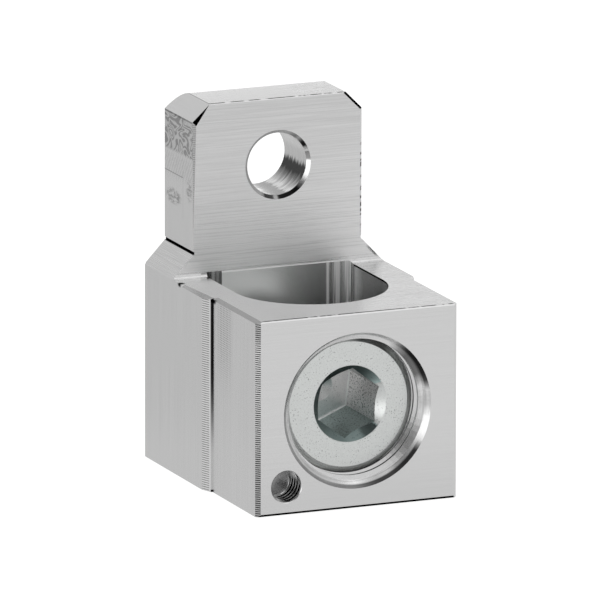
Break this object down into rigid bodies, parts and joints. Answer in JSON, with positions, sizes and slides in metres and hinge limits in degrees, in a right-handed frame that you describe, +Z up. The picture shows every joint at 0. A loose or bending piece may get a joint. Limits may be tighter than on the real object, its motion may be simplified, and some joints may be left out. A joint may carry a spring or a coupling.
{
  "type": "circuit breaker terminal",
  "caption": "Aluminium box terminal that bolts to a circuit breaker by its upright tongue and clamps one cable under a hexagon socket screw.",
  "frame": {"origin": "middle of the footprint, on the bottom face of the block", "axes": "+Z up along the tongue and the cable, -Y towards the clamping screw, +X to the right as seen from the screw side"},
  "size_m": [0.03, 0.0364, 0.0491],
  "materials": {
    "machined_aluminium": "milled and brushed, bright",
    "zinc_plated_steel": "pale zinc plating, satin"
  },
  "bodies": {
    "terminal": {"terminal_body": "machined_aluminium"},
    "screw": {"clamp_screw": "zinc_plated_steel"}
  },
  "joints": [
    {"name": "screw_travel", "type": "slide", "parent": "terminal", "child": "screw", "axis": [0, -1, 0], "range_m": [-0.0015, 0.012]}
  ]
}
